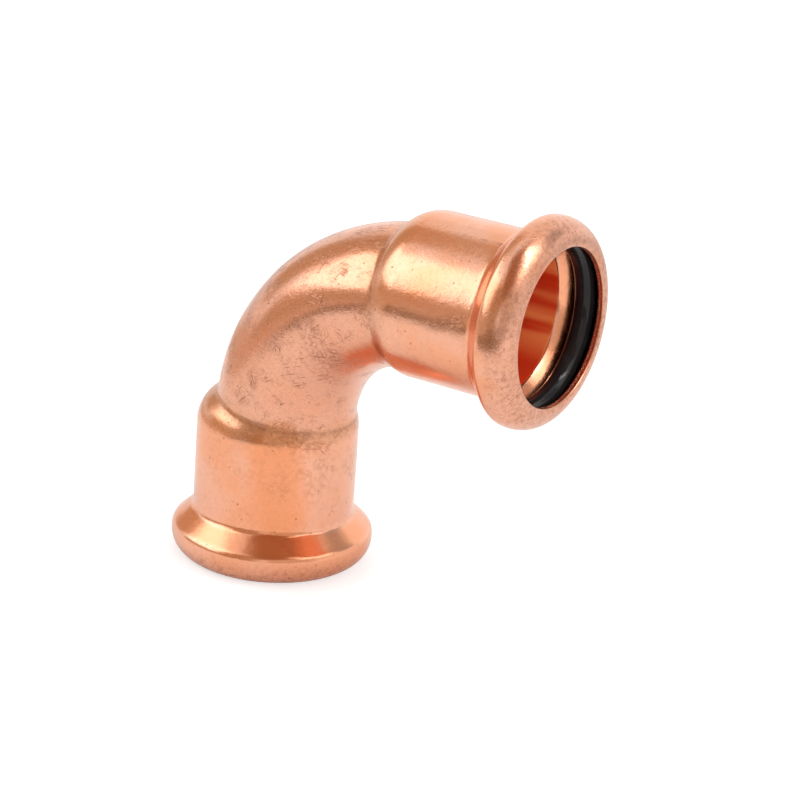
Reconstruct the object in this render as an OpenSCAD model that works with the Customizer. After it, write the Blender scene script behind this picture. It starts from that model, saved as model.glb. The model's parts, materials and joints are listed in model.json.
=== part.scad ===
// Press elbow, 90 degrees, socket by socket, for plain copper tube.
// One formed copper tube with an O-ring bead rolled into each end.
// The lower socket opens along -Z and the side socket along +X.
// The origin is on the lower socket's axis, where its straight bore ends.
// All sizes are in millimetres.

/* [Tube] */
// Outside diameter of the tube that each socket takes
tube_od = 22; // [15:0.1:54]
// Wall thickness of the elbow
wall = 1.1; // [0.8:0.05:1.4]

/* [Socket] */
// Radial gap between the tube and the socket's straight bore
socket_clearance = 0.15; // [0.05:0.01:0.4]
// Length from the mouth to the end of the straight bore
socket_depth = 21.2; // [16:0.1:40]
// Radial gap between the tube and the lip of the mouth
lip_clearance = 0.5; // [0.1:0.05:0.7]
// Outside radius of the shoulder that turns the barrel down to the bend
shoulder_r = 5.7; // [3:0.1:9]

/* [Bead] */
// Outside radius of the bead's rounded front
bead_front_r = 3.6; // [3.2:0.05:5]
// Outside radius of the corner behind the bead's crest
bead_rear_r = 1.6; // [1.45:0.05:2.5]
// Slope of the bead's rear flank to the socket's axis
flank_angle = 47; // [35:1:65]
// Outside radius of the hollow between the flank and the barrel
flank_fillet_r = 1.5; // [0.5:0.1:3]

/* [Bend] */
// Bend radius of the tube's centre line
bend_r = 23.6; // [20:0.1:80]
// How far the bend is set off the lower socket's axis, towards its inside
lower_shift = 1.4; // [0:0.1:1.6]
// How far the bend is set off the side socket's axis, towards its inside
side_shift = 0.7; // [0:0.1:1.6]
// How far the bend's end stays from the side socket's straight bore
bend_lead = 1; // [0:0.1:3]
// How much thinner the bent tube is in the plane of the bend than the tube that each socket takes
bend_thinning = 1; // [0:0.1:2]
// How much wider the bent tube is across that plane
bend_spread = 0.2; // [0:0.1:1.2]

/* [O-rings] */
// Thickness of an O-ring
oring_d = 3.1; // [2:0.1:4]
// Radial gap between the tube and the O-ring
oring_clearance = 0.05; // [0:0.01:0.3]
// Gap between the O-ring and the groove round it
groove_clearance = 0.1; // [0.02:0.01:0.3]

/* [Hidden] */
$fn = 96;

tube_r = tube_od / 2;
barrel_r = tube_r + socket_clearance + wall;
lip_r = tube_r + lip_clearance;

// Half the bent tube's oval section in the plane of the bend and across it
bend_half = (tube_od - bend_thinning) / 2;
bend_side = (tube_od + bend_spread) / 2;
// How much tighter the oval's ends are than its thickness and width alone make them
oval_pinch = 0.5;
// The oval's two end arcs, and the two flatter arcs that run into them without a corner
oval_end_r = 2 * bend_half - bend_side - oval_pinch;
oval_end_y = bend_side - oval_end_r;
oval_flat_r = (bend_half ^ 2 + oval_end_y ^ 2 - oval_end_r ^ 2) / (2 * (bend_half - oval_end_r));
oval_flat_x = oval_flat_r - bend_half;
oval_turn = atan2(oval_end_y, oval_flat_x);

// From the point where the socket axes meet to the end of each straight bore
centre_to_bore = bend_r + lower_shift + bend_lead;

// The ring's centre line, level with the centre of the bead's front rounding
oring_r = oring_d / 2;
oring_path_r = tube_r + oring_clearance + oring_r;
bead_r = oring_path_r + oring_r + groove_clearance + wall;

// The crest is just long enough for the flank to clear the ring by the groove's gap
ring_to_crest = wall + groove_clearance + oring_r;
flank_reach = (ring_to_crest - bead_rear_r) * cos(flank_angle) + bead_rear_r - wall;
crest_len = max(0, (oring_r + groove_clearance - flank_reach) / sin(flank_angle));

// What the flank's straight run has left to drop between its two roundings
corner_drop = (bead_rear_r + flank_fillet_r) * (1 - cos(flank_angle));
flank_run = (bead_r - barrel_r - corner_drop) / tan(flank_angle);
flank_len = flank_run + (bead_rear_r + flank_fillet_r) * sin(flank_angle);

// Centres of the section's roundings, as radius and distance from the mouth
front_c = [bead_r - bead_front_r, bead_front_r];
rear_c = [bead_r - bead_rear_r, bead_front_r + crest_len];
fillet_c = [barrel_r + flank_fillet_r, rear_c.y + flank_len];
shoulder_c = [barrel_r - shoulder_r, socket_depth];

// Steps along each small rounding of the section
arc_steps = 8;
// Overlap of a cut past the face that it opens
cut_over = 1;

copper = [0.86, 0.56, 0.43];
rubber = [0.06, 0.06, 0.07];

// Direction of an angle, from the radius towards the elbow
function turn(a) = [cos(a), sin(a)];

// Points along an arc of the section
function arc(c, r, from, to) =
    [for (i = [0:arc_steps]) c + r * turn(from + (to - from) * i / arc_steps)];

// Outer quarter of a disc, on the mouth's side of its centre or the elbow's
module quarter(c, r, mouth_side) {
    translate(c)
        intersection() {
            circle(r);
            translate([0, mouth_side ? -r : 0])
                square(r);
        }
}

// Half section of one socket from its mouth to its shoulder, filled to the axis.
// An inset of one wall thickness gives the inside.
module socket_half(inset) {
    shoulder_top = shoulder_c.y + shoulder_r - inset;
    quarter(front_c, bead_front_r - inset, true);
    quarter(shoulder_c, shoulder_r - inset, false);
    polygon(concat(
        [[0, inset], [front_c.x, inset], [bead_r - inset, front_c.y]],
        arc(rear_c, bead_rear_r - inset, 0, flank_angle),
        arc(fillet_c, flank_fillet_r + inset, 180 + flank_angle, 180),
        [[barrel_r - inset, shoulder_c.y], [shoulder_c.x, shoulder_top], [0, shoulder_top]]
    ));
}

// One socket turned about Z, its mouth downwards
module socket(inset) {
    rotate_extrude()
        translate([0, -socket_depth])
            socket_half(inset);
}

// Round opening of the mouth through the lip
module lip_bore() {
    translate([0, 0, -socket_depth - cut_over])
        cylinder(r = lip_r, h = cut_over + bead_front_r);
}

// Oval section of the bent tube, thinner along X than along Y
module bend_section(inset) {
    seam_y = (oval_flat_r - inset) * sin(oval_turn);
    intersection() {
        translate([-oval_flat_x, 0])
            circle(oval_flat_r - inset);
        translate([oval_flat_x, 0])
            circle(oval_flat_r - inset);
        square([tube_od, 2 * seam_y], center = true);
    }
    for (end = [0, 1])
        mirror([0, end])
            intersection() {
                translate([0, oval_end_y])
                    circle(oval_end_r - inset);
                translate([-bend_half, seam_y])
                    square(2 * bend_half);
            }
}

// Quarter turn of oval bar, set off so that each shoulder stands proud on the bend's outside
// and runs out on its inside
module bend(inset) {
    translate([bend_r + lower_shift, 0, centre_to_bore - side_shift - bend_r])
        rotate([90, 0, 0])
            rotate_extrude(angle = 90, start = 90)
                translate([bend_r, 0])
                    bend_section(inset);
}

// Moves a lower socket's shapes to the side socket
module to_side() {
    translate([centre_to_bore, 0, centre_to_bore])
        rotate([0, -90, 0])
            children();
}

module o_ring() {
    rotate_extrude()
        translate([oring_path_r, front_c.y - socket_depth])
            circle(oring_r);
}

module elbow_body() {
    color(copper)
        difference() {
            union() {
                bend(0);
                socket(0);
                to_side()
                    socket(0);
            }
            bend(wall);
            socket(wall);
            to_side()
                socket(wall);
            lip_bore();
            to_side()
                lip_bore();
        }
}

module lower_o_ring() {
    color(rubber)
        o_ring();
}

module side_o_ring() {
    color(rubber)
        to_side()
            o_ring();
}

elbow_body();
lower_o_ring();
side_o_ring();
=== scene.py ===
"""Dresses the copper press elbow: body, O-rings, studio and camera."""

import json
import logging
import math
from collections.abc import Mapping, Sequence
from dataclasses import dataclass, field
from enum import Enum
from typing import Any

import bpy
import numpy as np
from mathutils import Matrix, Vector, noise


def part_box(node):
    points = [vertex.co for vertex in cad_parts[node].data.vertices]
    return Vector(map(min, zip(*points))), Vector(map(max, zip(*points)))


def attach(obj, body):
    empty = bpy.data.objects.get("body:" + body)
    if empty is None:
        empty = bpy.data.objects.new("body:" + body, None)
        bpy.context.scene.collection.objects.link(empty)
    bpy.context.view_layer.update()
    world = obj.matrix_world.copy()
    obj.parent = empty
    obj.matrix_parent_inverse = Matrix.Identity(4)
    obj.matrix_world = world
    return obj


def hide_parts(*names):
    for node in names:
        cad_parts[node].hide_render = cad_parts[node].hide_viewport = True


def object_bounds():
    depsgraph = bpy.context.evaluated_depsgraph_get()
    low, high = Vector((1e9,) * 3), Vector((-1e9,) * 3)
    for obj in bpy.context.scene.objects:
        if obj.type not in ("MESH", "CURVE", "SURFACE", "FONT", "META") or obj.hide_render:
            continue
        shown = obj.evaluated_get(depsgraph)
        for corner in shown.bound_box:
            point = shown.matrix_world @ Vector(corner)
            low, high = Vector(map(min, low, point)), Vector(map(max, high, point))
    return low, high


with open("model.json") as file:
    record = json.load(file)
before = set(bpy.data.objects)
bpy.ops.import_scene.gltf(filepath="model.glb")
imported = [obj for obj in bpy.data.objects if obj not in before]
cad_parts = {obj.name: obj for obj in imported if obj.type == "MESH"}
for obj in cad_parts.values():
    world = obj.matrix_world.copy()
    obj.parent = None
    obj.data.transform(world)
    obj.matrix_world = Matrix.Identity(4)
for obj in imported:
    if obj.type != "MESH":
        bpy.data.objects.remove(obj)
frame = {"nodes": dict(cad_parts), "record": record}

LOG = logging.getLogger("press_elbow")
CAD_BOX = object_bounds()
MM = 0.001
IMAGE_PX = 800
QUARTER_TURN = math.pi / 2
FULL_TURN = 2 * math.pi

Triple = tuple[float, float, float]
Colour = Triple
Input = Any

NO_TURN: Triple = (0.0, 0.0, 0.0)
WHITE: Colour = (1.0, 1.0, 1.0)


class Trace(Enum):
    """Attributes that the body's mesh carries for its finish."""

    STRAIGHT = "straight"
    FLAT = "flat"
    HANDLED = "handled"
    BORE = "bore"
    FLANK = "flank"
    CREASE = "crease"
    MOUTH = "mouth"
    BENT = "bent"
    SCUFF = "scuff"
    BLOOM = "bloom"


class Skin(Enum):
    """The two faces of the tube's wall."""

    OUTSIDE = 0
    INSIDE = 1


def find_socket(sockets: Sequence[bpy.types.NodeSocket], key: str | int) -> bpy.types.NodeSocket:
    """Finds one of a node's sockets.

    Args:
        sockets: The node's inputs or outputs.
        key: Number, identifier or name of the socket.

    Returns:
        The socket.
    """
    if isinstance(key, int):
        return sockets[key]
    for socket in sockets:
        if key in (socket.identifier, socket.name) and socket.enabled:
            return socket
    raise KeyError(key)


class Sock:
    """A node's output that takes part in Python expressions."""

    def __init__(self, graph: "Graph", socket: bpy.types.NodeSocket) -> None:
        """Keeps the socket and the graph that new nodes go to."""
        self.graph = graph
        self.socket = socket

    def _math(self, operation: str, first: Input, second: Input) -> "Sock":
        """Adds one Math node.

        Args:
            operation: Name of the Math node's operation.
            first: Left value or socket.
            second: Right value or socket.

        Returns:
            The node's value.
        """
        return self.graph.node(
            "ShaderNodeMath", {"operation": operation}, {0: first, 1: second}
        )["Value"]

    def __add__(self, other: Input) -> "Sock":
        """Sum."""
        return self._math("ADD", self, other)

    __radd__ = __add__

    def __mul__(self, other: Input) -> "Sock":
        """Product."""
        return self._math("MULTIPLY", self, other)

    __rmul__ = __mul__

    def __sub__(self, other: Input) -> "Sock":
        """Difference."""
        return self._math("SUBTRACT", self, other)

    def __rsub__(self, other: Input) -> "Sock":
        """Difference with the socket on the right."""
        return self._math("SUBTRACT", other, self)

    def __abs__(self) -> "Sock":
        """Size without sign."""
        return self._math("ABSOLUTE", self, 0.0)

    def most(self, other: Input) -> "Sock":
        """The larger of two values."""
        return self._math("MAXIMUM", self, other)

    def step(self, low: float, high: float) -> "Sock":
        """Smooth step between two values.

        Args:
            low: Value where the step is 0.
            high: Value where the step is 1; it may be below low.

        Returns:
            A mask from 0 to 1.
        """
        if low > high:
            return 1.0 - self.step(high, low)
        return self.graph.node(
            "ShaderNodeMapRange",
            {"interpolation_type": "SMOOTHSTEP"},
            {"Value": self, "From Min": low, "From Max": high},
        )["Result"]


class Made:
    """A node that has been added, with its outputs by name."""

    def __init__(self, graph: "Graph", node: bpy.types.Node) -> None:
        """Keeps the node and its graph."""
        self.graph = graph
        self.node = node

    def __getitem__(self, name: str) -> Sock:
        """The output with that name or identifier."""
        return Sock(self.graph, find_socket(self.node.outputs, name))


@dataclass(frozen=True)
class Grain:
    """A smooth noise: its cells per unit, its octaves and the strength of the finer ones."""

    scale: float
    detail: float = 2.0
    rough: float = 0.5


@dataclass(frozen=True)
class Scratches:
    """Short scratches in one direction, by their turn in degrees and their length in mm."""

    turn: float
    length: float
    width: float = 0.19
    grain: Grain = Grain(1.0, 1.0)
    faint: float = 0.60
    strong: float = 0.70


class Graph:
    """A node tree that is filled by expressions."""

    def __init__(self, tree: bpy.types.NodeTree) -> None:
        """Empties the tree."""
        self.tree = tree
        tree.nodes.clear()

    def node(
        self,
        kind: str,
        settings: Mapping[str, Any] | None = None,
        sockets: Mapping[str | int, Input] | None = None,
    ) -> Made:
        """Adds a node.

        Args:
            kind: The node's type.
            settings: Its own settings.
            sockets: Values or links for its inputs, by name or number.

        Returns:
            The node.
        """
        made = self.tree.nodes.new(kind)
        for name, value in (settings or {}).items():
            setattr(made, name, value)
        for key, value in (sockets or {}).items():
            target = find_socket(made.inputs, key)
            if isinstance(value, Sock):
                self.tree.links.new(value.socket, target)
            elif target.type == "RGBA":
                target.default_value = (*value, 1.0)
            else:
                target.default_value = value
        return Made(self, made)

    def mix(self, factor: Input, first: Input, second: Input) -> Sock:
        """Mixes two colours.

        Args:
            factor: Share of the second colour.
            first: Colour at 0.
            second: Colour at 1.

        Returns:
            The mixed colour.
        """
        return self.node(
            "ShaderNodeMix",
            {"data_type": "RGBA", "clamp_factor": True},
            {"Factor_Float": factor, "A_Color": first, "B_Color": second},
        )["Result_Color"]

    def turned(self, vector: Sock, turn: Triple, size: Triple) -> Sock:
        """A vector turned and then divided by a size along each axis.

        Args:
            vector: The vector.
            turn: Turn about each axis in degrees.
            size: Size of one unit along each turned axis.

        Returns:
            The new vector.
        """
        return self.node(
            "ShaderNodeMapping",
            {"vector_type": "TEXTURE"},
            {"Vector": vector, "Rotation": [math.radians(a) for a in turn], "Scale": size},
        )["Vector"]

    def grain(self, vector: Sock, grain: Grain) -> Sock:
        """Smooth noise.

        Args:
            vector: Where it is read.
            grain: Its scale and detail.

        Returns:
            A value about 0.5.
        """
        return self.node(
            "ShaderNodeTexNoise",
            None,
            {
                "Vector": vector,
                "Scale": grain.scale,
                "Detail": grain.detail,
                "Roughness": grain.rough,
            },
        )["Fac"]

    def dashes(self, vector: Sock, scratches: Scratches) -> Sock:
        """Short fine scratches in one direction on a flat lay-out.

        Args:
            vector: Where they are read, in mm.
            scratches: Their direction and size.

        Returns:
            A mask of the scratches.
        """
        size = (scratches.width, scratches.length, 1.0)
        waves = self.grain(self.turned(vector, (0.0, 0.0, scratches.turn), size), scratches.grain)
        return waves.step(scratches.faint, scratches.strong)

    def dots(self, vector: Sock, scale: float) -> Sock:
        """Distance to the nearest of many scattered points."""
        return self.node(
            "ShaderNodeTexVoronoi", {"feature": "F1"}, {"Vector": vector, "Scale": scale}
        )["Distance"]

    def trace(self, name: Trace, output: str = "Fac") -> Sock:
        """One of the mesh's attributes."""
        return self.node("ShaderNodeAttribute", {"attribute_name": name.value})[output]

    def bump(self, height: Sock, distance: float, under: Sock | None = None) -> Sock:
        """A normal from a height.

        Args:
            height: The height, about 0 to 1.
            distance: Depth in metres.
            under: A normal that this one adds to.

        Returns:
            The normal.
        """
        sockets: dict[str | int, Input] = {"Height": height, "Distance": distance, "Strength": 1.0}
        if under is not None:
            sockets["Normal"] = under
        return self.node("ShaderNodeBump", None, sockets)["Normal"]

    def surface(self, shader: Made, output: str = "BSDF") -> None:
        """Sends a shader to the material's output."""
        self.node("ShaderNodeOutputMaterial", None, {"Surface": shader[output]})


def new_material(name: str) -> tuple[bpy.types.Material, Graph]:
    """Makes an empty node material.

    Args:
        name: The material's name.

    Returns:
        The material and its graph.
    """
    made = bpy.data.materials.new(name)
    made.use_nodes = True
    return made, Graph(made.node_tree)


class CopperMasks:
    """Masks over the copper that its colour, gloss and relief share."""

    def __init__(self, g: Graph, finish: "DrawnCopper") -> None:
        """Reads the mesh's traces and works the masks out of them and of noise.

        Args:
            g: The material's graph.
            finish: The copper, for its noises and scratches.
        """
        place = g.trace(Trace.STRAIGHT, "Vector")
        self.bore = g.trace(Trace.BORE)
        self.flank = g.trace(Trace.FLANK)
        self.crease = g.trace(Trace.CREASE)
        self.mouth = g.trace(Trace.MOUTH)
        self.bent = g.trace(Trace.BENT)
        self.scuff = g.trace(Trace.SCUFF)
        self.bloom = g.trace(Trace.BLOOM)
        self.drift = g.grain(place, finish.drift)
        self.cloud = g.grain(place, finish.cloud)
        self.mottle = g.grain(place, finish.mottle)
        self.fine = g.grain(place, finish.fine)
        self.rubbed = self.scuff * self.cloud.step(0.26, 0.50)
        self.smear = (self.mottle * 0.5 + self.cloud * 0.5).step(0.50, 0.68)
        # Middle of each shoulder, where a darker olive tone, partly a painted dark reflection, and
        # extra roughness go.
        self.shoulder = self.bent * (1.0 - self.bent) * 4.0 * (1.0 - self.bore)
        self.scratch = self._scratch(g, finish)
        near = g.dots(place, finish.speck_scale) + self.mottle * 0.16
        self.specks = near.step(0.21, 0.14) * self.cloud.step(0.40, 0.57)
        self.painted_bore_light = self._painted_bore_light(g, place, finish)

    def _scratch(self, g: Graph, finish: "DrawnCopper") -> Sock:
        """Scratches in four directions, where the copper has been handled.

        Args:
            g: The material's graph.
            finish: The copper.

        Returns:
            The mask.
        """
        flat = g.trace(Trace.FLAT, "Vector")
        worn = self.rubbed.most(self.cloud.step(0.44, 0.68) * (0.13 + self.bent * 0.50))
        worn = worn * g.trace(Trace.HANDLED)
        steep = g.dashes(flat, finish.steep) * self.mottle.step(0.40, 0.55)
        slanting = g.dashes(flat, finish.slanting) * self.cloud.step(0.42, 0.60)
        rising = g.dashes(flat, finish.rising) * self.mottle.step(0.60, 0.46)
        around = g.dashes(flat, finish.around) * self.cloud.step(0.58, 0.42)
        return steep.most(slanting).most(rising).most(around) * worn.step(0.04, 0.60)

    def _painted_bore_light(self, g: Graph, place: Sock, finish: "DrawnCopper") -> Sock:
        """Painted light: bright bands along the sides of the bore, lighter copies of its colour.

        Args:
            g: The material's graph.
            place: Place on the straightened tube.
            finish: The copper.

        Returns:
            The mask.
        """
        bands = g.grain(g.turned(place, NO_TURN, finish.band_size), finish.bands)
        side = abs(g.node("ShaderNodeSeparateXYZ", None, {"Vector": place})["Y"])
        return bands.step(0.34, 0.62) * side.step(finish.painted_light_from, finish.painted_light_full)

    def stain_and_shade_mask(self, finish: "DrawnCopper") -> Sock:
        """How much the copper is stained, with a painted shade line along its creases.

        Args:
            finish: The copper.

        Returns:
            The mask, low on the polished flanks and in the bore.
        """
        smudge = self.rubbed.most(self.crease * self.cloud.step(0.34, 0.60))
        smudge = smudge * self.mottle.step(0.36, 0.62)
        # Painted shade: a thin dark line along each crease where the bend meets a shoulder.
        seam = self.crease.step(0.72, 1.0) * (0.35 + self.mottle.step(0.36, 0.60) * 0.65)
        tumbled = self.fine.step(0.40, 0.74) * (0.12 + self.bent * 0.10 + self.mouth * 0.24)
        tumbled = tumbled + self.mottle.step(0.42, 0.66) * self.mouth.step(0.0, 0.5) * 0.22
        stain_and_shade_mask = self.smear * (0.10 + self.bent * 0.17) + tumbled + self.specks * finish.speck_dirt
        stain_and_shade_mask = stain_and_shade_mask.most(smudge * finish.smudge_dirt).most(self.scratch * finish.scratch_dirt)
        stain_and_shade_mask = stain_and_shade_mask.most(seam * finish.crease_shade)
        return stain_and_shade_mask * (1.0 - self.flank * 0.75) * (1.0 - self.bore * 0.9)


@dataclass(frozen=True)
class DrawnCopper:
    """Satin drawn copper with stains, scratches and polished bead flanks, and painted light and
    shade in the bore, along the creases, on the shoulders and at the mouths.
    """

    rosy: Colour = (0.905, 0.455, 0.30)
    orange: Colour = (0.91, 0.40, 0.225)
    ruddy: Colour = (0.91, 0.35, 0.165)
    flank: Colour = (0.91, 0.385, 0.21)
    # Darker olive tone over each shoulder: partly tarnish, partly a painted dark reflection.
    brassy_and_dark_reflection: Colour = (0.56, 0.31, 0.13)
    # Painted light in the bore: its deep red is partly painted shade for the dark, copper-on-copper
    # inside of the tube, and the next colour is painted light for the bright bands on its sides.
    bore: Colour = (0.90, 0.085, 0.022)
    bore_painted_light: Colour = (1.0, 0.31, 0.095)
    # Tarnish on the bend; at the mouths it is partly painted shade that darkens the bead fronts as
    # a shadowed floor would in their reflection.
    tarnish_and_shade: Colour = (0.52, 0.26, 0.19)
    # Colour of stains, also used for the painted shade line along the creases.
    stain_and_shade: Colour = (0.25, 0.085, 0.05)
    drift: Grain = Grain(0.10, 3.0)
    cloud: Grain = Grain(0.30, 4.0, 0.62)
    mottle: Grain = Grain(1.3, 4.0, 0.68)
    fine: Grain = Grain(3.0, 3.0, 0.68)
    steep: Scratches = Scratches(14.0, 2.6)
    slanting: Scratches = Scratches(-38.0, 3.4)
    rising: Scratches = Scratches(52.0, 2.2)
    around: Scratches = Scratches(84.0, 4.5)
    speck_scale: float = 0.75
    bands: Grain = Grain(1.0)
    band_size: Triple = (3.0, 3.0, 40.0)
    painted_light_from: float = 6.5
    painted_light_full: float = 10.6
    bloom_share: float = 0.85
    speck_dirt: float = 0.55
    smudge_dirt: float = 0.46
    scratch_dirt: float = 0.70
    # Strength of the painted shade line along the creases.
    crease_shade: float = 0.50
    satin: float = 0.13
    mottled: float = 0.12
    polish: float = 0.21
    bore_matt: float = 0.45
    painted_light_matt: float = 0.45
    swell_depth: float = 0.00005
    relief_depth: float = 0.000024

    def material(self) -> bpy.types.Material:
        """Makes the finish, laid out along the straightened tube in mm.

        Returns:
            The material.
        """
        made, g = new_material("drawn_copper")
        masks = CopperMasks(g, self)
        shader = g.node(
            "ShaderNodeBsdfPrincipled",
            None,
            {
                "Base Color": self._tone(g, masks),
                "Metallic": 1.0 - masks.bore * (self.bore_matt + masks.painted_bore_light * self.painted_light_matt),
                "Roughness": self._gloss(masks),
                "Normal": self._relief(g, masks),
            },
        )
        g.surface(shader)
        return made

    def _tone(self, g: Graph, m: CopperMasks) -> Sock:
        """The copper's colour, with painted light and shade.

        Args:
            g: The material's graph.
            m: The masks.

        Returns:
            The colour.
        """
        tone = g.mix(m.drift.step(0.42, 0.64) * (1.0 - m.bent * 0.6), self.rosy, self.orange)
        bloomed = (m.bloom + m.cloud * 0.6 + m.mottle * 0.4).step(0.75, 1.25)
        tone = g.mix(bloomed * self.bloom_share, tone, self.ruddy)
        # Darker tone on the bend as tarnish; at the mouths it is partly painted shade that darkens
        # the bead fronts.
        tone = g.mix((m.bent * 0.18 + m.mouth * 0.36) * (0.7 + m.smear), tone, self.tarnish_and_shade)
        # Darker olive tone over the shoulders: partly tarnish, partly a painted dark reflection.
        tone = g.mix(m.shoulder * (0.24 + m.smear * 0.26), tone, self.brassy_and_dark_reflection)
        tone = g.mix(m.flank, tone, self.flank)
        # Painted light and shade in the bore: a deep red for its dark inside, with painted bright
        # bands along its sides.
        tone = g.mix(m.bore, tone, g.mix(m.painted_bore_light, self.bore, self.bore_painted_light))
        # Stains and the painted crease shade darken the copper last.
        return g.mix(m.stain_and_shade_mask(self), tone, self.stain_and_shade)

    def _gloss(self, m: CopperMasks) -> Sock:
        """The copper's roughness.

        Args:
            m: The masks.

        Returns:
            The roughness.
        """
        even = self.satin + self.mottled / 2
        gloss = self.satin + m.mottle * self.mottled + m.smear * 0.05 + m.scuff * 0.06
        gloss = gloss + m.mouth * 0.10 + m.shoulder * 0.06
        return gloss - m.flank * (even - self.polish) + m.bore * 0.12

    def _relief(self, g: Graph, m: CopperMasks) -> Sock:
        """The copper's fine relief on its slow swell.

        Args:
            g: The material's graph.
            m: The masks.

        Returns:
            The normal.
        """
        swell = g.bump(m.cloud, self.swell_depth)
        relief = (m.fine * 0.6 + m.mottle * 0.35 - m.specks - m.scratch) * (1.0 - m.flank * 0.8)
        return g.bump(relief, self.relief_depth, swell)


@dataclass(frozen=True)
class GreasedRubber:
    """Gloss black rubber with a thin uneven film of grease."""

    black: Colour = (0.013, 0.0115, 0.0115)
    film: Colour = (0.020, 0.020, 0.021)
    smear: Grain = Grain(0.45, 3.0, 0.6)
    fine: Grain = Grain(3.5)
    dust_scale: float = 1.1
    gloss: float = 0.05
    shine: float = 0.24
    relief_depth: float = 0.00003

    def material(self) -> bpy.types.Material:
        """Makes the finish, laid out in the ring's own space in mm.

        Returns:
            The material.
        """
        made, g = new_material("greased_rubber")
        place = g.turned(g.node("ShaderNodeTexCoord")["Object"], NO_TURN, (MM, MM, MM))
        smear = g.grain(place, self.smear)
        dust = g.dots(place, self.dust_scale).step(0.10, 0.04) * smear.step(0.5, 0.7)
        height = g.grain(place, self.fine) * 0.5 + smear
        greased = (smear.step(0.52, 0.72) * 0.6).most(dust)
        shader = g.node(
            "ShaderNodeBsdfPrincipled",
            None,
            {
                "Base Color": g.mix(greased, self.black, self.film),
                "Roughness": self.gloss + smear.step(0.45, 0.75) * 0.06 + dust * 0.2,
                "Specular IOR Level": self.shine,
                "Normal": g.bump(height, self.relief_depth),
            },
        )
        g.surface(shader)
        return made


@dataclass(frozen=True)
class Streak:
    """A rubbed or stained streak, from one point on the surface to another, in mm."""

    name: str
    start: Triple
    end: Triple
    reach: float
    strength: float = 1.2

    def mask(self, points: np.ndarray) -> np.ndarray:
        """How strongly the streak marks each point.

        Args:
            points: Points in mm.

        Returns:
            Values from 0 to 1.
        """
        start, way = np.array(self.start), np.array(self.end) - np.array(self.start)
        share = np.clip((points - start) @ way / (way @ way), 0, 1)
        gap = np.linalg.norm(points - start - share[:, None] * way, axis=1)
        return np.clip(self.strength * (1 - gap / self.reach), 0, 1)


def strongest(streaks: Sequence[Streak], points: np.ndarray) -> np.ndarray:
    """The strongest of several streaks at each point."""
    return np.max([streak.mask(points) for streak in streaks], axis=0)


SCUFFS = (
    Streak("bend_front", (13.1, -10.8, 19.1), (14.4, -8.8, 15.4), 3.6),
    Streak("bend_left", (2.4, -11.3, 10.9), (3.0, -11.4, 9.2), 1.1),
    Streak("lower_crease", (3.6, -11.0, 2.6), (9.0, -8.0, 1.4), 1.5),
    Streak("lower_crease_inside", (9.0, -8.0, 0.9), (11.6, -4.0, -0.2), 1.6),
    Streak("side_top", (30.6, -4.9, 37.2), (39.0, -4.8, 37.3), 0.55),
    Streak("side_front", (33.0, -12.2, 25.6), (38.2, -12.1, 28.0), 1.2),
    Streak("side_bead", (45.6, -14.5, 28.0), (46.0, -14.3, 28.3), 0.8),
    Streak("bend_top", (15.4, -3.0, 34.0), (18.0, -3.0, 35.2), 2.0),
    Streak("bend_back", (6.0, 10.6, 16.0), (11.0, 10.8, 20.0), 3.0),
    Streak("lower_back", (3.0, 11.8, -6.0), (-3.0, 11.9, -8.0), 2.2),
    Streak("side_back", (30.0, 11.6, 22.0), (36.0, 11.9, 23.0), 2.4),
    Streak("lower_left", (-11.6, 3.0, -3.0), (-12.0, -2.0, -9.0), 1.8),
)

BLOOMS = (
    Streak("lower_front", (6.8, -10.2, -0.4), (7.9, -9.4, -9.9), 7.0),
    Streak("side_neck_back", (20.0, 11.0, 22.0), (26.0, 11.6, 27.0), 6.0),
)


def arc(
    centre: tuple[float, float], radius: float, start: float, end: float, steps: int
) -> list[tuple[float, float]]:
    """Points on an arc, its start left out.

    Args:
        centre: The arc's centre.
        radius: Its radius.
        start: Angle of the point that is left out, in degrees.
        end: Angle of the last point.
        steps: How many points there are.

    Returns:
        The points.
    """
    turns = [math.radians(start + (end - start) * i / steps) for i in range(1, steps + 1)]
    return [(centre[0] + radius * math.cos(t), centre[1] + radius * math.sin(t)) for t in turns]


@dataclass(frozen=True)
class Ring:
    """One ring of a skin: its distance along the route, its radii and its masks."""

    way: float
    radius: np.ndarray
    flank: float = 0.0
    crease: np.ndarray | float = 0.0
    mouth: float = 0.0


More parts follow.
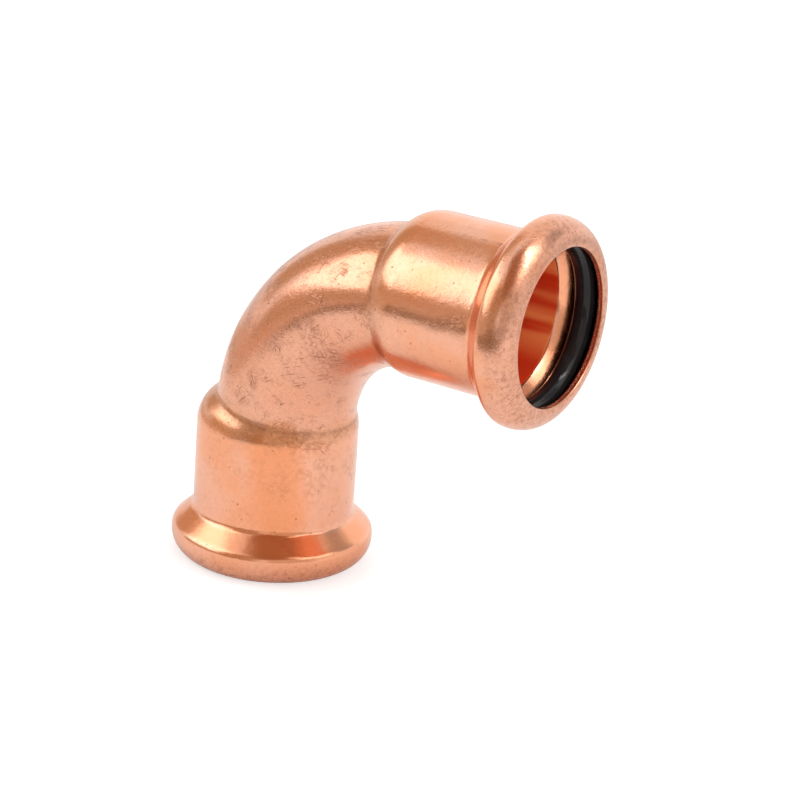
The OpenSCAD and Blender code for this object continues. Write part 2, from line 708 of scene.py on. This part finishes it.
@dataclass
class ElbowBody:
    """The formed copper tube, with sizes in mm as in the part's source."""

    bore_r: float
    bead_r: float
    socket_depth: float
    reach: float
    wall: float = 1.1
    lip_r: float = 11.5
    lip_round: float = 0.30
    shoulder_r: float = 5.7
    front_r: float = 3.6
    rear_r: float = 1.6
    crest_len: float = 0.5
    flank_angle: float = 47.0
    fillet_r: float = 1.5
    groove_edge_r: float = 0.8
    lower_shift: float = 1.4
    side_shift: float = 0.7
    bend_lead: float = 1.0
    bend_half: float = 10.5
    bend_side: float = 11.1
    oval_pinch: float = 0.5
    blend: float = 0.6
    crease_reach: float = 1.2
    neck_start: float = 14.0
    close_before: float = 1.0
    close_after: float = 6.0
    ripple: float = 0.05
    ripple_fade: float = 6.0
    wave_scale: float = 0.16
    wave_base: float = 0.5
    lump_scale: float = 0.42
    lump_share: float = 1.2
    lump_at: float = 1.5
    lump_reach: float = 4.0
    around: int = 192
    rings: list[np.ndarray] = field(default_factory=list)
    traces: dict[Trace, list[np.ndarray]] = field(default_factory=dict)

    # Points along each part of a mouth's section, and rings along each part of a neck
    LIP_STEPS, FRONT_STEPS, CORNER_STEPS, FLANK_STEPS, BARREL_STEPS = 6, 18, 8, 6, 6
    NECK_STEPS = {Skin.OUTSIDE: (9, 42, 26), Skin.INSIDE: (5, 20, 12)}
    # Radii between which the neck's surface is searched, and how often they are halved
    SEARCH_LOW, SEARCH_HIGH, HALVINGS = 4.0, 15.0, 40
    # Steps on each side of the back seam that stay unscratched
    SEAM_STEPS = 3
    # How far the inner skin's stains are read from the outer skin's
    SKIN_APART = 300.0

    @classmethod
    def from_frame(cls) -> "ElbowBody":
        """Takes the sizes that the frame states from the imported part.

        Returns:
            The body, not built yet.
        """
        low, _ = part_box("elbow_body")
        mounts = {mount["name"]: mount for mount in frame["record"]["mounts"]}
        return cls(
            bore_r=mounts["lower_socket"]["dims"]["r_mm"],
            bead_r=-low[0] / MM,
            socket_depth=-low[2] / MM,
            reach=mounts["side_socket"]["pos_m"][0] / MM,
        )

    @property
    def barrel_r(self) -> float:
        """Outside radius of a socket behind its bead."""
        return self.bore_r + self.wall

    @property
    def bend_r(self) -> float:
        """Radius of the bend's centre line."""
        return self.reach - self.lower_shift - self.bend_lead

    @property
    def total(self) -> float:
        """Length of the route from mouth to mouth."""
        return 2 * self.socket_depth + self.reach * QUARTER_TURN

    def _depth(self, way: float) -> float:
        """Distance from the nearer mouth."""
        return min(way, self.total - way)

    def mouth_outline(self, inset: float) -> list[Triple]:
        """Half section of one skin from the middle of the lip to the barrel.

        Args:
            inset: 0 for the outer skin, the wall's thickness for the inner one.

        Returns:
            Radius, distance from the mouth and flank mask of each point.
        """
        slope = math.radians(self.flank_angle)
        front = (self.bead_r - self.front_r, self.front_r)
        rear = (self.bead_r - self.rear_r, self.front_r + self.crest_len)
        corners_r = self.rear_r + self.fillet_r
        drop = corners_r * (1 - math.cos(slope))
        run = (self.bead_r - self.barrel_r - drop) / math.tan(slope)
        fillet_at = rear[1] + run + corners_r * math.sin(slope)
        lip = (self.lip_r + self.lip_round, abs(inset - self.lip_round))
        past = math.degrees(math.asin((lip[0] - front[0]) / (self.front_r - inset)))

        bead = [(self.lip_r, self.wall / 2), (self.lip_r, lip[1])]
        bead += arc(lip, self.lip_round, 180.0, 90.0 if inset else 270.0, self.LIP_STEPS)
        bead += arc(front, self.front_r - inset, 270.0 + past, 360.0, self.FRONT_STEPS)
        bead += [(self.bead_r - inset, rear[1])]
        bead += arc(rear, self.rear_r - inset, 0.0, self.flank_angle, self.CORNER_STEPS)

        curl_r = self.groove_edge_r if inset else self.fillet_r
        back = (self.fillet_r + inset - curl_r) * math.tan(slope / 2)
        curl = (self.barrel_r - inset + curl_r, fillet_at - back)
        top = bead.pop()
        foot = (curl[0] - curl_r * math.cos(slope), curl[1] - curl_r * math.sin(slope))
        barrel = arc(curl, curl_r, 180.0 + self.flank_angle, 180.0, self.CORNER_STEPS)
        gap = (self.neck_start - curl[1]) / self.BARREL_STEPS
        barrel += [
            (self.barrel_r - inset, curl[1] + gap * i) for i in range(1, self.BARREL_STEPS)
        ]

        out = [(r, s, 0.0) for r, s in bead]
        for i in range(self.FLANK_STEPS + 1):
            share = i / self.FLANK_STEPS
            r, s = (a + (b - a) * share for a, b in zip(top, foot))
            out.append((r, s, 0.5 if i in (0, self.FLANK_STEPS) else 1.0))
        return out + [(r, s, 0.0) for r, s in barrel]

    def _oval(self, along: np.ndarray, across: np.ndarray) -> np.ndarray:
        """Distance outside the bent tube's oval section.

        Args:
            along: Offset from the centre line in the plane of the bend.
            across: Offset across that plane.

        Returns:
            The distance, below 0 inside.
        """
        end_r = 2 * self.bend_half - self.bend_side - self.oval_pinch
        end_y = self.bend_side - end_r
        flat_r = (self.bend_half**2 + end_y**2 - end_r**2) / (2 * (self.bend_half - end_r))
        flat_x = flat_r - self.bend_half
        along, across = np.abs(along), np.abs(across)
        at_end = across * flat_x > end_y * (along + flat_x)
        end = np.hypot(along, across - end_y) - end_r
        return np.where(at_end, end, np.hypot(along + flat_x, across) - flat_r)

    def _distance(self, points: np.ndarray, inset: float) -> tuple[np.ndarray, np.ndarray]:
        """How far points lie outside one skin of the barrels, shoulders and bend.

        Args:
            points: Points in mm, with the last axis for X, Y and Z.
            inset: 0 for the outer skin, the wall's thickness for the inner one.

        Returns:
            The blended distance, and how near each point is to a crease.
        """
        x, y, z = points[..., 0], points[..., 1], points[..., 2]
        reach = self.reach
        sockets = []
        for radius, past in ((np.hypot(x, y), z), (np.hypot(z - reach, y), reach - x)):
            core = self.barrel_r - self.shoulder_r
            dome = np.hypot(np.maximum(radius - core, 0), np.maximum(past, 0))
            dome = dome - (self.shoulder_r - inset)
            sockets.append(np.where(past <= 0, radius - (self.barrel_r - inset), dome))
        socket = np.minimum(*sockets)
        qx = x - self.lower_shift - self.bend_r
        qz = z - reach + self.side_shift + self.bend_r
        turn = self._oval(np.hypot(qx, qz) - self.bend_r, y)
        turn = np.where(qz < 0, self._oval(x - self.lower_shift, y), turn)
        turn = np.where(qx > 0, self._oval(z - reach + self.side_shift, y), turn) + inset
        share = np.clip(0.5 + 0.5 * (turn - socket) / self.blend, 0, 1)
        blended = turn + (socket - turn) * share - self.blend * share * (1 - share)
        return blended, np.clip(1 - np.abs(turn - socket) / self.crease_reach, 0, 1)

    def _steps(self) -> np.ndarray:
        """Angles round a ring, from the inside of the bend."""
        return np.linspace(0, FULL_TURN, self.around, endpoint=False)

    def _ring_at(self, way: float) -> tuple[np.ndarray, np.ndarray]:
        """The route that the rings follow, on the sockets' axes, and the directions round it.

        Args:
            way: Distance from the lower mouth along the route.

        Returns:
            The centre, and the direction of each step round the ring.
        """
        turn = min(max((way - self.socket_depth) / self.reach, 0.0), QUARTER_TURN)
        inward = np.array([math.cos(turn), 0.0, -math.sin(turn)])
        ahead = np.array([math.sin(turn), 0.0, math.cos(turn)])
        over = way - self.socket_depth - turn * self.reach
        centre = np.array([self.reach, 0.0, 0.0]) - inward * self.reach + ahead * over
        phi = self._steps()
        across = np.array([0.0, 1.0, 0.0])
        return centre, np.cos(phi)[:, None] * inward + np.sin(phi)[:, None] * across

    def _unrolled(self, way: float, radius: np.ndarray) -> np.ndarray:
        """Points of a ring on the straightened tube."""
        phi = self._steps()
        ways = np.full_like(phi, way)
        return np.stack([radius * np.cos(phi), radius * np.sin(phi), ways], axis=1)

    def _mouth_ring(self, way: float, radius: float, flank: float) -> Ring:
        """A ring of a turned mouth.

        Args:
            way: Distance from the lower mouth along the route.
            radius: Its radius.
            flank: Mask of the polished flank.

        Returns:
            The ring.
        """
        mouth = max(0.0, 1.0 - self._depth(way) / (self.front_r + self.crest_len))
        return Ring(way, np.full(self.around, radius), flank, mouth=mouth)

    def _formed_ring(self, way: float, inset: float) -> Ring:
        """A ring of the necks and bend, with the drawn tube's ripples on the outside.

        Args:
            way: Distance from the lower mouth along the route.
            inset: 0 for the outer skin, the wall's thickness for the inner one.

        Returns:
            The ring.
        """
        centre, out = self._ring_at(way)
        low = np.full(self.around, self.SEARCH_LOW)
        high = np.full(self.around, self.SEARCH_HIGH)
        for _ in range(self.HALVINGS):
            middle = (low + high) / 2
            outside = self._distance(centre + middle[:, None] * out, inset)[0] > 0
            low, high = np.where(outside, low, middle), np.where(outside, middle, high)
        crease = self._distance(centre + low[:, None] * out, inset)[1]
        if inset == 0:
            low = low + self.ripple * self._ripples(way, low)
        return Ring(way, low, crease=crease)

    def _ripples(self, way: float, radius: np.ndarray) -> np.ndarray:
        """Slow waves along the drawn tube, with lumps where each shoulder was formed.

        Args:
            way: Distance from the lower mouth along the route.
            radius: Radius at each step round the ring.

        Returns:
            Height of the ripples, about -1 to 1.
        """
        depth = self._depth(way)
        fade = min(1.0, (depth - self.neck_start) / self.ripple_fade)
        off_lumps = abs(depth - self.socket_depth - self.lump_at)
        lumpy = max(0.0, 1.0 - off_lumps / self.lump_reach)
        spots = [Vector(p) for p in self._unrolled(way, radius)]
        wave = np.array([noise.noise(p * self.wave_scale) - self.wave_base for p in spots])
        lump = np.array([noise.noise(p * self.lump_scale) for p in spots])
        return fade * wave + self.lump_share * lumpy * lump

    def _neck_ways(self, skin: Skin) -> np.ndarray:
        """Where the rings of the necks and bend lie, closest where the bend leaves its shoulders.

        Args:
            skin: The skin, of which the outer one has more rings.

        Returns:
            Distances from the lower mouth along the route.
        """
        middle = self.total / 2
        close_from = self.socket_depth - self.close_before
        close_to = self.socket_depth + self.close_after
        stops = (self.neck_start, close_from, close_to, middle)
        runs = [
            np.linspace(a, b, n, endpoint=False)
            for a, b, n in zip(stops, stops[1:], self.NECK_STEPS[skin])
        ]
        half = np.concatenate(runs)
        return np.concatenate([half, [middle], (2 * middle - half)[::-1]])

    def _add_ring(self, ring: Ring, skin: Skin) -> None:
        """Adds one ring of points with its traces.

        Args:
            ring: The ring.
            skin: The skin that it is on.
        """
        centre, out = self._ring_at(ring.way)
        points = centre + ring.radius[:, None] * out
        outer = 1.0 - skin.value
        apart = np.array([0.0, 0.0, self.SKIN_APART]) * skin.value
        aside = (self._steps() - QUARTER_TURN) % FULL_TURN - math.pi
        flat = np.stack([self.barrel_r * aside, np.full_like(aside, ring.way), 0 * aside], axis=1)
        seam = math.pi - self.SEAM_STEPS * FULL_TURN / self.around
        depth = self._depth(ring.way)
        groove_end = self.front_r + self.crest_len + 2 * self.rear_r
        bent = min(max((depth - self.socket_depth) / self.shoulder_r, 0.0), 1.0)
        self.rings.append(points)
        for name, value in (
            (Trace.STRAIGHT, self._unrolled(ring.way, ring.radius) + apart),
            (Trace.FLAT, flat),
            (Trace.HANDLED, (np.abs(aside) < seam) * outer),
            (Trace.BORE, skin.value * float(depth > groove_end)),
            (Trace.FLANK, ring.flank),
            (Trace.CREASE, ring.crease),
            (Trace.MOUTH, ring.mouth),
            (Trace.BENT, bent),
            (Trace.SCUFF, strongest(SCUFFS, points) * outer),
            (Trace.BLOOM, strongest(BLOOMS, points) * outer),
        ):
            row = value if np.ndim(value) == 2 else np.broadcast_to(value, self.around)
            self.traces.setdefault(name, []).append(row)

    def _add_skin(self, skin: Skin) -> None:
        """Adds the rings of one skin, the outer one from below and the inner one back.

        Args:
            skin: The skin.
        """
        inset = self.wall * skin.value
        outline = self.mouth_outline(inset)
        rings = [self._mouth_ring(s, r, flank) for r, s, flank in outline]
        rings += [self._formed_ring(way, inset) for way in self._neck_ways(skin)]
        rings += [self._mouth_ring(self.total - s, r, flank) for r, s, flank in reversed(outline)]
        if skin is Skin.INSIDE:
            # Both skins share the ring in the middle of each lip
            rings = rings[-2:0:-1]
        for ring in rings:
            self._add_ring(ring, skin)

    def _mesh(self) -> bpy.types.Mesh:
        """Joins the rings into one closed mesh that carries the traces.

        Returns:
            The mesh.
        """
        points = np.concatenate(self.rings) * MM
        grid = np.arange(len(points)).reshape(len(self.rings), self.around)
        ahead = np.roll(grid, -1, axis=0)
        corners = [grid, ahead, np.roll(ahead, -1, axis=1), np.roll(grid, -1, axis=1)]
        faces = np.stack(corners, axis=-1).reshape(-1, len(corners))
        mesh = bpy.data.meshes.new("elbow_body_skin")
        mesh.from_pydata(points.tolist(), [], faces.tolist())
        for name, values in self.traces.items():
            whole = np.concatenate(values).astype(np.float32)
            kind, part = ("FLOAT_VECTOR", "vector") if whole.ndim == 2 else ("FLOAT", "value")
            layer = mesh.attributes.new(name.value, kind, "POINT")
            layer.data.foreach_set(part, whole.ravel())
        mesh.polygons.foreach_set("use_smooth", [True] * len(mesh.polygons))
        mesh.update()
        return mesh

    def build(self) -> bpy.types.Object:
        """Makes the body's skin in place of its solid.

        Returns:
            The skin.
        """
        self._add_skin(Skin.OUTSIDE)
        self._add_skin(Skin.INSIDE)
        piece = bpy.data.objects.new("elbow_body_skin", self._mesh())
        bpy.context.scene.collection.objects.link(piece)
        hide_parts("elbow_body")
        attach(piece, "root")
        return piece

    def dress(self, piece: bpy.types.Object, finish: DrawnCopper) -> None:
        """Gives the body its copper."""
        piece.data.materials.append(finish.material())


@dataclass
class RingSeals:
    """The two O-rings, which keep their solids' shapes."""

    nodes: tuple[str, ...] = ("lower_o_ring", "side_o_ring")

    def dress(self, finish: GreasedRubber) -> list[str]:
        """Gives both rings their rubber.

        Args:
            finish: The rubber.

        Returns:
            The names of the rings.
        """
        made = finish.material()
        for name in self.nodes:
            data = frame["nodes"][name].data
            data.materials.clear()
            data.materials.append(made)
        return list(self.nodes)


@dataclass(frozen=True)
class Panel:
    """A flat lamp or card that faces the part: its direction in degrees, its size in metres."""

    name: str
    azimuth: float
    elevation: float
    distance: float
    width: float
    height: float
    level: float
    tint: Colour = WHITE
    mirrored: bool = True

    def corners(self) -> list[Triple]:
        """The panel's corners about its middle."""
        w, h = self.width / 2, self.height / 2
        return [(-w, -h, 0.0), (w, -h, 0.0), (w, h, 0.0), (-w, h, 0.0)]

    def place(self, piece: bpy.types.Object, aim: Vector) -> None:
        """Stands a flat thing at the panel's place, facing the part.

        Args:
            piece: The lamp or sheet.
            aim: The point that it faces.
        """
        turn, rise = math.radians(self.azimuth), math.radians(self.elevation)
        flat = math.cos(rise)
        way = Vector((flat * math.cos(turn), flat * math.sin(turn), math.sin(rise)))
        piece.location = aim + way * self.distance
        piece.rotation_mode = "QUATERNION"
        piece.rotation_quaternion = (-way).to_track_quat("-Z", "Y")


PALE: Colour = (1.0, 0.91, 0.83)
WARM: Colour = (1.0, 0.80, 0.65)
TAN: Colour = (1.0, 0.75, 0.52)
BROWN: Colour = (1.0, 0.52, 0.28)

LAMPS = (
    Panel("left_softbox", -143.0, 33.5, 0.55, 0.46, 0.37, 1.25),
    Panel("right_softbox", 4.0, 44.0, 0.60, 0.40, 0.30, 1.2),
    Panel("right_strip", 2.0, 58.0, 0.55, 0.07, 0.31, 8.0),
    Panel("back_key", 122.0, 40.0, 0.45, 0.16, 0.16, 3.0, mirrored=False),
    Panel("front_key", -36.0, 22.0, 0.50, 0.16, 0.16, 9.0, mirrored=False),
)

CARDS = (
    Panel("camera_card", -50.0, 58.0, 0.90, 0.75, 1.15, 0.40, BROWN),
    Panel("camera_side_card", -93.0, 22.0, 0.90, 0.72, 0.80, 0.54, TAN),
    Panel("camera_right_card", -32.0, 18.0, 0.95, 0.95, 0.70, 0.72, PALE),
    Panel("left_back_card", 168.0, 35.0, 0.90, 0.48, 1.04, 0.62, TAN),
    Panel("left_low_card", -140.0, 6.5, 0.80, 0.75, 0.235, 0.60, TAN),
    Panel("right_back_card", 48.0, 36.0, 0.90, 0.40, 0.40, 0.45),
    Panel("back_panel", 100.0, 14.0, 1.10, 1.60, 1.00, 1.15),
)


@dataclass(frozen=True)
class FloorCard:
    """A dim stretch of the far floor that only reflections show, in metres."""

    name: str
    low: tuple[float, float]
    high: tuple[float, float]
    level: float
    tint: Colour

    def corners(self, z: float) -> list[Triple]:
        """The card's corners at a height."""
        (x0, y0), (x1, y1) = self.low, self.high
        return [(x0, y0, z), (x1, y0, z), (x1, y1, z), (x0, y1, z)]


FLOOR_CARDS = (
    FloorCard("front_floor_card", (-0.135, -1.4), (0.5, -0.125), 0.30, TAN),
    FloorCard("left_floor_card", (-1.4, -1.4), (-0.135, 0.12), 0.75, WARM),
)


@dataclass
class Studio:
    """White floor, soft lamps, and dark cards that only the metal mirrors, in metres."""

    floor_z: float
    floor_size: float = 6.0
    floor_grey: float = 0.86
    floor_glow: float = 1.70
    glow_share: float = 0.35
    glow_mirrored: float = 0.10
    fill: float = 0.70
    card_gap: float = 0.0005
    aim: Vector = field(default_factory=lambda: Vector((0.016, 0.0, 0.010)))

    def build(self) -> None:
        """Sets the world, floor, lamps and cards."""
        self._world()
        self._floor()
        for panel in LAMPS:
            self._lamp(panel)
        for panel in CARDS:
            card = self._card(panel.name, panel.corners(), panel.level, panel.tint)
            panel.place(card, self.aim)
        for stretch in FLOOR_CARDS:
            corners = stretch.corners(self.floor_z + self.card_gap)
            self._card(stretch.name, corners, stretch.level, stretch.tint)
        bpy.context.scene.view_settings.view_transform = "Standard"

    def _lamp(self, panel: Panel) -> None:
        """Adds a soft lamp, as bright as the panel's level beside the white surround.

        Args:
            panel: The lamp's place, size and level.
        """
        lamp = bpy.data.lights.new(panel.name, "AREA")
        lamp.shape = "RECTANGLE"
        lamp.size, lamp.size_y = panel.width, panel.height
        lamp.energy = panel.level * math.pi * panel.width * panel.height
        piece = bpy.data.objects.new(panel.name, lamp)
        panel.place(piece, self.aim)
        piece.visible_glossy = panel.mirrored
        bpy.context.scene.collection.objects.link(piece)

    def _card(
        self, name: str, corners: Sequence[Triple], level: float, tint: Colour
    ) -> bpy.types.Object:
        """Adds a card that only reflections show.

        Args:
            name: Its name.
            corners: Its four corners.
            level: How bright it is beside the white surround.
            tint: Its colour.

        Returns:
            The card.
        """
        made, g = new_material(name)
        glow = g.node("ShaderNodeEmission", None, {"Color": tint, "Strength": level})
        g.surface(glow, "Emission")
        piece = self._sheet(name, corners, made)
        piece.visible_camera = False
        piece.visible_diffuse = False
        piece.visible_shadow = False
        piece.visible_transmission = False
        return piece

    @staticmethod
    def _sheet(
        name: str, corners: Sequence[Triple], made: bpy.types.Material
    ) -> bpy.types.Object:
        """Adds a flat sheet that isn't part of the object.

        Args:
            name: Its name.
            corners: Its four corners.
            made: Its material.

        Returns:
            The sheet.
        """
        mesh = bpy.data.meshes.new(name)
        mesh.from_pydata(corners, [], [range(len(corners))])
        mesh.materials.append(made)
        piece = bpy.data.objects.new(name, mesh)
        bpy.context.scene.collection.objects.link(piece)
        return piece

    @staticmethod
    def _shown(g: Graph, mirrored: float = 1.0) -> Sock:
        """1 for what the camera looks at, a share for reflections, and 0 for light.

        Args:
            g: The graph.
            mirrored: The share for reflections.

        Returns:
            The share by the kind of ray.
        """
        path = g.node("ShaderNodeLightPath")
        direct = path["Is Camera Ray"].most(path["Is Transmission Ray"])
        return direct.most(path["Is Glossy Ray"] * mirrored)

    def _floor(self) -> None:
        """Adds the white floor, which keeps the part's shadow."""
        made, g = new_material("white_floor")
        matt = g.node("ShaderNodeBsdfDiffuse", None, {"Color": (self.floor_grey,) * 3})
        glow = g.node("ShaderNodeEmission", None, {"Strength": self.floor_glow})
        share = self._shown(g, self.glow_mirrored) * self.glow_share
        both = g.node("ShaderNodeMixShader", None, {0: share, 1: matt["BSDF"], 2: glow["Emission"]})
        g.surface(both, "Shader")
        h, z = self.floor_size / 2, self.floor_z
        self._sheet("floor", [(-h, -h, z), (h, -h, z), (h, h, z), (-h, h, z)], made)

    def _world(self) -> None:
        """Sets a white surround with a plain level of fill light."""
        world = bpy.data.worlds.new("white_surround")
        bpy.context.scene.world = world
        world.use_nodes = True
        g = Graph(world.node_tree)
        level = self.fill + self._shown(g) * (1.0 - self.fill)
        glow = g.node("ShaderNodeBackground", None, {"Color": WHITE, "Strength": level})
        g.node("ShaderNodeOutputWorld", None, {"Surface": glow["Background"]})


@dataclass
class PhotoCamera:
    """The photograph's viewpoint, in mm, with the lens in image pixels."""

    place: Triple = (206.946, -291.494, 131.287)
    aim: Triple = (19.392, 3.341, 7.496)
    roll: float = 4.239
    lens_px: float = 2513.1
    sensor: float = 36.0
    nearest: float = 10.0
    farthest: float = 20000.0

    def build(self) -> None:
        """Makes the scene's camera."""
        data = bpy.data.cameras.new("photo_camera")
        data.sensor_width = self.sensor
        data.lens = self.lens_px * self.sensor / IMAGE_PX
        data.clip_start, data.clip_end = self.nearest * MM, self.farthest * MM
        piece = bpy.data.objects.new("photo_camera", data)
        place = Vector(self.place) * MM
        level = (Vector(self.aim) * MM - place).to_track_quat("-Z", "Y").to_matrix()
        turned = level @ Matrix.Rotation(math.radians(self.roll), 3, "Z")
        piece.matrix_world = Matrix.Translation(place) @ turned.to_4x4()
        bpy.context.scene.collection.objects.link(piece)
        bpy.context.scene.camera = piece


def main() -> None:
    """Builds and dresses each piece in order."""
    logging.basicConfig(level=logging.INFO, format="%(message)s")
    PhotoCamera().build()
    Studio(floor_z=CAD_BOX[0][2]).build()
    body = ElbowBody.from_frame()
    skin = body.build()
    body.dress(skin, DrawnCopper())
    LOG.info("%s: %d faces", skin.name, len(skin.data.polygons))
    LOG.info("%s: marked at %s", skin.name, ", ".join(s.name for s in SCUFFS + BLOOMS))
    for name in RingSeals().dress(GreasedRubber()):
        LOG.info("%s: keeps its solid", name)


if __name__ == "__main__":
    main()
